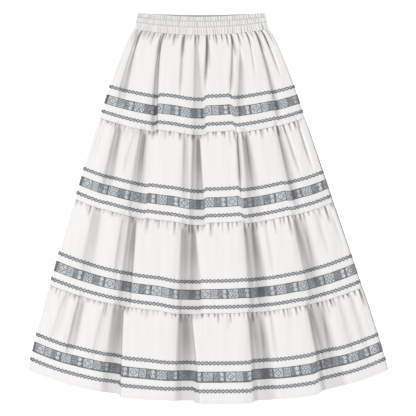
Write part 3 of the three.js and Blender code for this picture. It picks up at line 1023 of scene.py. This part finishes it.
# %% Strips of the front's surface
TRIM_SPACING = 1.2
TRIM_TURN_SHADE = 0.45  # painted shade on the trims where they turn round the side


def strip_lines(tier, down, width, rows):
    centre = tier + 1 + down
    reach = width / 2 / tier_height(tier)
    return centre, line_rows(centre - reach, centre + reach, rows)


def front_strip(tier, down, width, rows, spacing, lift):
    """A strip of a tier's front, its middle at the share `down` of the tier's height, lifted off the cloth, with its
    normals and its painted shade.
    """
    centre, lines = strip_lines(tier, down, width, rows)
    across, side = front_columns(2 * half_width(centre), spacing)
    strip = front_points(lines, across, side, tier)
    normal = normals(strip)
    # the trims' painted shade: in the folds, and where they turn round the side
    turned = TRIM_TURN_SHADE * ease((np.abs(across) - 0.972) / 0.02)
    return strip + lift * normal, normal, np.clip(painted_fold_shade(lines, across + 0 * lines, tier) + turned, 0, 1)


def across_strip(grid, place):
    """One point in each column of a strip, at a place from 0 at its upper edge to 1 at its lower."""
    rows, columns = grid.shape[:2]
    at = np.clip(np.broadcast_to(place, columns), 0, 1) * (rows - 1)
    low = np.minimum(at.astype(int), rows - 2)
    column = np.arange(columns)
    share = (at - low)[:, None]
    return grid[low, column] * (1 - share) + grid[low + 1, column] * share


strip, _, fold = front_strip(3, TIERS[3].ribbon, RIBBON_WIDTH, 3, 4, GAP)
print(f"the fourth ribbon's strip is {lengths(strip)[-1]:.0f} mm long, and its darkest fold is {fold.max():.2f}")

# %% Four ribbons
RIBBON_LIFT = TRIM * 0.7
RIBBON_WALL = TRIM * 0.6
for tier, row in enumerate(TIERS):
    top, _, fold = front_strip(tier, row.ribbon, RIBBON_WIDTH, 9, TRIM_SPACING, GAP + RIBBON_LIFT)
    ribbon = cloth_shell(f"{row.name}_ribbon_woven", top, RIBBON_WALL, fold)
    dress(ribbon, [RIBBON], f"{row.name}_ribbon")
    cut_width(ribbon, top) * MM

# %% Eight crossed braids
BRAID_PERIOD = 17.2  # a strand's whole zigzag, so that a diamond is half as long
STRAND_WIDE = 2.2
STRAND_HIGH = 1.2
STRAND_RISE = 0.28  # how far a strand's middle rises over the other's and dips under it
SHARP = 0.96
BRAID_SWING = 1.0  # share of the braid's width that a strand's middle swings over
CORE_WIDE = 4.8
CORE_HIGH = 0.4
CORE_DROP = 0.3  # how far under the strands it lies


def zigzag(turn):
    """From -1 to 1 and back in straight lines, with corners that SHARP leaves a little soft."""
    return np.arcsin(SHARP * np.sin(turn)) / math.asin(SHARP)


def braid_strands(strip, normal, fold, phase=0.0, rise=0.0, wide=1.7, high=0.4, sides=4):
    """Two strands that cross in a zigzag, each rising over the other in turn."""
    turn = lengths(strip) / BRAID_PERIOD * 2 * np.pi + phase
    for sign in (1, -1):
        place = 0.5 + sign * BRAID_SWING / 2 * zigzag(turn)
        up = across_strip(normal, place)
        path = across_strip(strip, place) + up * (sign * rise * np.cos(turn))[:, None]
        yield swept(path, up, wide, high, fold, sides)


for tier, row in enumerate(TIERS):
    for part, down in (("upper", row.upper), ("lower", row.lower)):
        strip, normal, fold = front_strip(tier, down, BRAID_WIDTH, 5, TRIM_SPACING / 1.4, GAP + STRAND_HIGH / 2)
        strands = list(braid_strands(strip, normal, fold[2], 0.9 * tier, STRAND_RISE, STRAND_WIDE, STRAND_HIGH, 6))
        core = across_strip(strip - CORE_DROP * normal, 0.5)
        strands.append(swept(core, across_strip(normal, 0.5), CORE_WIDE, CORE_HIGH, fold[2], sides=4))
        braid = joined(f"{row.name}_braid_{part}_yarn", strands)
        dress(braid, [YARN_DARK, YARN_LIGHT, YARN_CORE], f"{row.name}_braid_{part}")
        slots = np.repeat([0, 1, 2], [len(strand[1]) for strand in strands]).astype(np.int32)
        braid.data.polygons.foreach_set("material_index", slots)

# %% [markdown]
# ## The waistband
# Elastic in three channels draws the casing up into fine ribs, and the two rows of stitching between the channels
# press them flat. The ribs of one channel don't quite line up with those of the next. The casing is closed: its top
# is shirred and its underside lies flat on the back of the band.

# %% The front of the waistband
Channel = namedtuple("Channel", "start end puff crease ribs")
CHANNELS = [
    Channel(0, 0.25, 1.2, 1.7, 62),
    Channel(0.25, 0.56, 1.5, 1.4, 57),
    Channel(0.56, 1, 1.3, 1.3, 53),
]
LAST_PUFF = 0.78  # the last channel is cut short of its end, and stays full at the seam
GROOVE = 1.5  # depth of a row of stitches
# painted shade of the band: in its grooves, over the whole casing, and in its ribs' creases
GROOVE_SHADE = 0.32
CASING_SHADE = 0.01
RIB_SHADE = 0.6
BAND_SPACING = 0.62
BAND_FOOT = CASING + GAP
band_height_mm = LINES[0].y - LINES[1].y
print("waistband:", band_height_mm, "mm high with", [channel.ribs for channel in CHANNELS], "ribs")


def band_ribs(across, channel, i):
    """The shirring of one channel: round ribs of uneven width with narrow creases between them."""
    count = channel.ribs * (across + 1) / 2
    count = count + 0.3 * np.sin(0.9 * count + 4 * i) + 0.12 * np.sin(3.1 * count + 7 * i)
    strength = 0.72 + 0.28 * np.sin(1.3 * count + 2.1 * i) * np.sin(0.37 * count + i)
    return channel.crease * strength * (np.abs(np.sin(np.pi * count)) ** 0.8 - 1)


def band_form(line, across):
    """How high the band's top stands at a place, and how much painted shade it gets in its creases and grooves, from 0
    to 1.
    """
    height = BAND_FOOT + CASING + 0 * line * across
    shade = CASING_SHADE + 0 * line * across
    for i, channel in enumerate(CHANNELS):
        share = np.clip((line - channel.start) / (channel.end - channel.start), 0, 1)
        puff = np.sin(np.pi * share * (LAST_PUFF if channel.end == 1 else 1)) ** 0.5
        ribs = band_ribs(across + 0.006 * np.sin(np.pi * share + 9 * across), channel, i)
        height = height + puff * (channel.puff + ribs)
        shade = shade - RIB_SHADE * puff * ribs
        if channel.end < 1:
            off = (line - channel.end) * band_height_mm
            height = height - GROOVE * np.exp(-((off / 0.9) ** 2))
            shade = shade + GROOVE_SHADE * np.exp(-((off / 1.4) ** 2))
    return height, np.clip(shade, 0, 1)


def band_points(line, across, side):
    u, z = rolled(line, across, side, BAND_SIDE_RADIUS, BAND_FOOT, lambda at: band_form(line, at)[0])
    return as_points(*in_plan(line, u), z)


across, side = front_columns(2 * LINES[1].half, BAND_SPACING)
lines = line_rows(0.004, 1 - GAP / 2 / band_height_mm, even(band_height_mm / BAND_SPACING))
outer = band_points(lines, across, side)
waistband = level_shell("waistband_front_casing", outer, BAND_FOOT, band_form(lines, across)[1], inset=0.4)
dress(waistband, [CASING_COTTON], "waistband_front")
front_band_cut = cut_width(waistband, outer)

# %% [markdown]
# ## The back
# The back panels lie on the floor under the front. Only the waistband's upper edge shows, a sliver above the front's,
# but the part is seen from below too. There the cloth is pressed flat with the same seams, gathers and folds as
# shallow lines, and its own ribbons and braids reach down to the floor.

# %% The back panels
BACK_SPACING = 3.8
TRIM_FLAT = 0.45  # how much of the underside the pressed trims take


def back_plan(line, across, raised=0.0, shorter=0.0):
    x, y = in_plan(line, across)
    up = raised * (1 - across**2) * np.clip(1 - line, 0, 1)
    up = up + shorter * np.clip(line - (HEM - 1), 0, 1)
    return x, y + up


def back_columns(half, spacing):
    """across for the columns of a back, which run from right to left so that its faces look down."""
    return np.linspace(1, -1, even(2 * half / spacing))[None, :]


def pressed_relief(line, across, tier):
    """How far a crease of the pressed back stands off the floor."""
    creases = -gather_relief(line, -across, tier)
    return np.clip(0.14 * np.maximum(creases, 0) + 0.03 * fold_depth(line, -across, tier), 0, 0.4)


tier_backs = []
for tier, row in enumerate(TIERS):
    first, last = seam_ends(tier)
    across = back_columns(half_width(last), BACK_SPACING)
    lines = line_rows(first, last, even(tier_height(tier) / BACK_SPACING))
    relief = pressed_relief(lines, across, tier)
    under = as_points(*back_plan(lines, across, shorter=BACK_SHORTER), TRIM_FLAT + relief)
    # the creases' relief also goes in as a faint painted shade along them
    back = level_shell(f"{row.name}_back_cloth", under, CLOTH, relief)
    dress(back, [COTTON], f"{row.name}_back")
    tier_backs.append((back, cut_width(back, under[-3:])))

# %% The back of the waistband
LIP_HIGH = 4.6  # the back's upper edge rolls up, and the waist's opening is the slit in front of it, dark from its depth and from painted shade
LIP_WIDE = 0.7
SLIT_FLOOR = 1.2
across = back_columns(LINES[1].half, 2 * BAND_SPACING)
lines = line_rows(0, 1 - GAP / 2 / band_height_mm, even(band_height_mm / BAND_SPACING / 2))
relief = (band_form(lines, across)[0] - BAND_FOOT - CASING) / 2.4
under = as_points(*back_plan(lines, across, raised=BACK_RAISED), 0.46 - 0.45 * np.clip(relief, -0.5, 1))
from_edge = lines * band_height_mm
lip = ease(1.6 - from_edge / LIP_WIDE) * (1 - across**2)
slit = ease(2.8 - from_edge / 2.2) * (1 - across**2)
top = mix(mix(CASING - 0.2, SLIT_FLOOR, slit), LIP_HIGH, lip)[::2, ::2]
# the slit gets painted shade through the fold mark
waistband_back = level_shell("waistband_back_casing", under, top, slit * (1 - lip))
dress(waistband_back, [CASING_COTTON], "waistband_back")
back_band_cut = cut_width(waistband_back, under)

# %% The ribbons and braids under the back
FLAT_BRAID = 0.24  # height of the middle of a pressed strand
under_braids = {tier: [] for tier in range(len(TIERS))}


def back_strip(tier, down, width, rows, spacing, height):
    """A strip of a tier's back that lies level at a height."""
    centre, lines = strip_lines(tier, down, width, rows)
    return as_points(*back_plan(lines, back_columns(half_width(centre), spacing), shorter=BACK_SHORTER), height)


def under_braid(tier, part, down):
    strip = back_strip(tier, down, BRAID_WIDTH, 5, 1.2, FLAT_BRAID)
    facing_down = np.broadcast_to([0.0, 0.0, -1.0], strip.shape)
    strands = list(braid_strands(strip, facing_down, np.zeros(strip.shape[1])))
    braid = joined(f"{TIERS[tier].name}_{part}_under", strands)
    under_braids[tier].append(dress(braid, [YARN_LIGHT]))


for tier, row in enumerate(TIERS):
    under_braid(tier, "braid_upper", row.upper)
    strip = back_strip(tier, row.ribbon, RIBBON_WIDTH, 3, 6, 0.05)
    ribbon = dress(level_shell(f"{row.name}_ribbon_under", strip, TRIM_FLAT), [RIBBON])
    cut_width(ribbon, strip) * MM
    under_braid(tier, "braid_lower", row.lower)
print("braids under the back:", sum(len(pair) for pair in under_braids.values()))

# %% [markdown]
# ## Stitching
# Two rows of stitches run between the elastic's channels, one row holds each seam's allowance up under the tier above,
# and one closes the hem. A stitch is a grain of thread a little over two millimetres long.

# %% Rows of stitches on the front
STITCH = (2.3, 0.55, 0.4)  # length, width and height
STITCH_PITCH = 3.0
SEAM_STITCH = 2.2  # from a seam to its row of stitches


def stitch_row(path, up, fold):
    """Stitches at an even pitch along a path."""
    reach = path_lengths(path)
    at = np.arange(STITCH_PITCH, reach[-1] - STITCH_PITCH, STITCH_PITCH)
    centres, forward, normal = (
        np.stack([np.interp(at, reach, values[:, k]) for k in range(3)], axis=-1)
        for values in (path, frames_along(path), up)
    )
    return stitches(centres, forward, normal, np.interp(at, reach, fold), *STITCH)


def tier_stitches(tier, to_seam):
    strip, normal, fold = front_strip(tier, 1 - to_seam / tier_height(tier), width=1, rows=3, spacing=2, lift=0.05)
    return stitch_row(strip[1], normal[1], fold[1])


rows_of_stitches = [tier_stitches(tier, SEAM_STITCH) for tier in range(len(TIERS) - 1)]
rows_of_stitches += [tier_stitches(3, HEM_STITCH)]
for channel in CHANNELS[:-1]:
    near = line_rows(channel.end - 0.01, channel.end + 0.01, 3)
    strip = band_points(near, *front_columns(2 * LINES[1].half, 1.0))
    # the stitches in a groove take the groove's painted shade
    rows_of_stitches.append(stitch_row(strip[1], normals(strip)[1], np.full(strip.shape[1], GROOVE_SHADE)))
stitching = joined("stitching_thread", rows_of_stitches)
dress(stitching, [THREAD])
print("stitches:", len(stitching.data.vertices) // 6)

# %% [markdown]
# ## What was cut
# A tier starts as a straight strip, as wide as its lower edge is over all its folds, and the seam above gathers it in.
# So each sheet states that width, and the seam allowances are added to its height.

# %% Say what was cut, and from how much cloth
ALLOWANCE = 10.0  # for a seam or a hem, at both edges of a tier
for tier, row in enumerate(TIERS):
    cut_height = tier_height(tier) + 2 * ALLOWANCE
    back, back_width = tier_backs[tier]
    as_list(under_braids[tier])
    front, front_width = tier_fronts[tier]
    print(f"{row.name}: front cut {front_width:.0f}, back cut {back_width:.0f}, both {cut_height} mm high")
for casing, width, rest in ((waistband_back, back_band_cut, []), (waistband, front_band_cut, [waistband_back])):
    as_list(rest)
    print(f"{casing.name}: cut {width:.0f} by {band_height_mm:.0f} mm, for the face that shows")

# %% [markdown]
# ## Floor, light and camera
# The floor is a plain pale sheet that glows faintly, like a light table, so that no dark line lies along the sides.
# One large soft light hangs high and a little to the left, so the slope of a fold that faces away from it darkens and
# no hard shadow falls on the floor. A weaker one fills the rest. The camera looks straight down from far away, which
# keeps the high crests from leaning outwards.

# %% The floor
FLOOR_GLOW = 0.5
FLOOR_SIZE = 6.0
FLOOR_DROP = 0.0002  # a hair under the cloth


def floor():
    pale = (0.93, 0.93, 0.93, 1.0)
    paint = Paint("pale floor", Base_Color=pale, Roughness=0.95, Specular_IOR_Level=0.1, Emission_Strength=FLOOR_GLOW)
    mesh = bpy.data.meshes.new("floor")
    corners = [(x * FLOOR_SIZE, y * FLOOR_SIZE, -FLOOR_DROP) for x, y in ((-1, -1), (1, -1), (1, 1), (-1, 1))]
    mesh.from_pydata(corners, [], [(0, 1, 2, 3)])
    mesh.materials.append(paint.material)
    linked("floor", mesh)


floor()
print("floor:", 2 * FLOOR_SIZE, "m square")

# %% The lights and the camera
FRAME_WIDTH = 416 * 2.2 * MM  # what the picture takes in at the height of the cloth
CAMERA_HEIGHT = 3.4
CLOTH_MIDDLE = 0.01
SKY = 0.17


def softbox(name, place, size, watts):
    light = bpy.data.lights.new(name, "AREA")
    light.shape = "SQUARE"
    light.size = size
    light.energy = watts
    thing = linked(name, light)
    thing.location = place
    x, y, z = place
    thing.rotation_euler = (math.atan2(math.hypot(x, y), z), 0, math.atan2(-y, -x) - math.pi / 2)


softbox("window", place=(-4.1, -0.5, 11.1), size=4.5, watts=1415)
softbox("ceiling", place=(1.4, 0.2, 5.0), size=4.0, watts=20)
world = bpy.data.worlds.new("studio")
world.use_nodes = True
sky = world.node_tree.nodes["Background"].inputs
sky["Color"].default_value = (1.0, 1.0, 1.0, 1.0)
sky["Strength"].default_value = SKY
bpy.context.scene.world = world
bpy.context.scene.view_settings.view_transform = "Standard"

camera = linked("camera", bpy.data.cameras.new("camera"))
camera.data.lens = camera.data.sensor_width * (CAMERA_HEIGHT - CLOTH_MIDDLE) / FRAME_WIDTH
camera.location = (0, 0, CAMERA_HEIGHT)
bpy.context.scene.camera = camera
print("lens:", round(camera.data.lens), "mm")

# %% [markdown]
